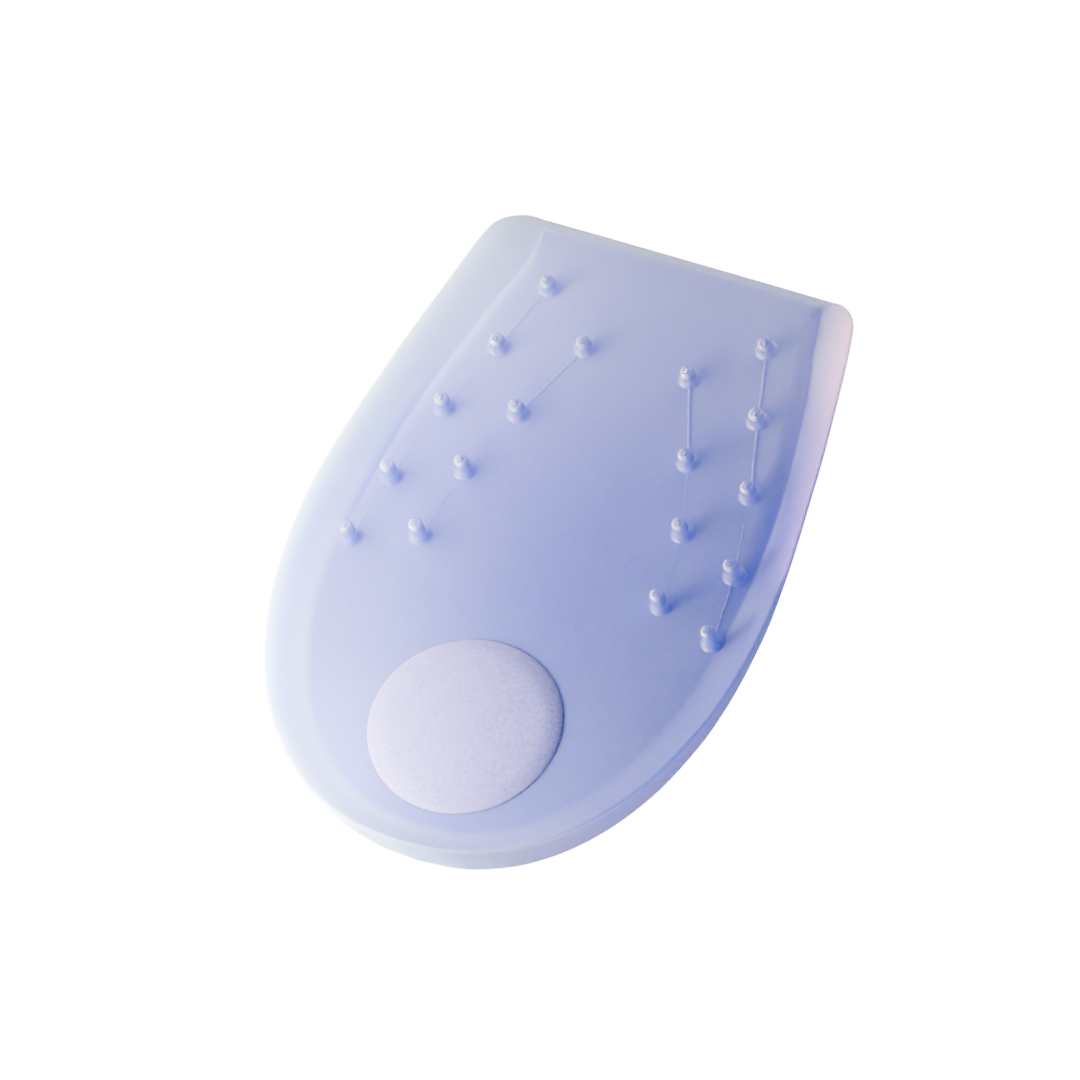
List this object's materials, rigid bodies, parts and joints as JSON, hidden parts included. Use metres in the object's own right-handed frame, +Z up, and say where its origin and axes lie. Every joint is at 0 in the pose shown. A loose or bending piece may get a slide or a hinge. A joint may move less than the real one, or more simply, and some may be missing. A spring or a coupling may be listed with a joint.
{
  "type": "silicone heel cup",
  "caption": "Shallow moulded silicone heel cup with an open front edge, raised rim, rows of small pegs joined by thin ribs, and a round soft heel pad.",
  "frame": {"origin": "middle of the underside's bounding box, on the surface it rests on", "axes": "+Y from the heel towards the open front edge, +Z up out of the hollow, +X to the wearer's right of the cup's middle line"},
  "size_m": [0.0696, 0.0996, 0.0098],
  "materials": {
    "cup_silicone": "translucent milky silicone, satin, bluish where thick",
    "pad_silicone": "softer, paler pinkish-white silicone, dull satin"
  },
  "bodies": {
    "root": {"cup_body": "cup_silicone", "soft_pad": "pad_silicone"}
  },
  "joints": []
}
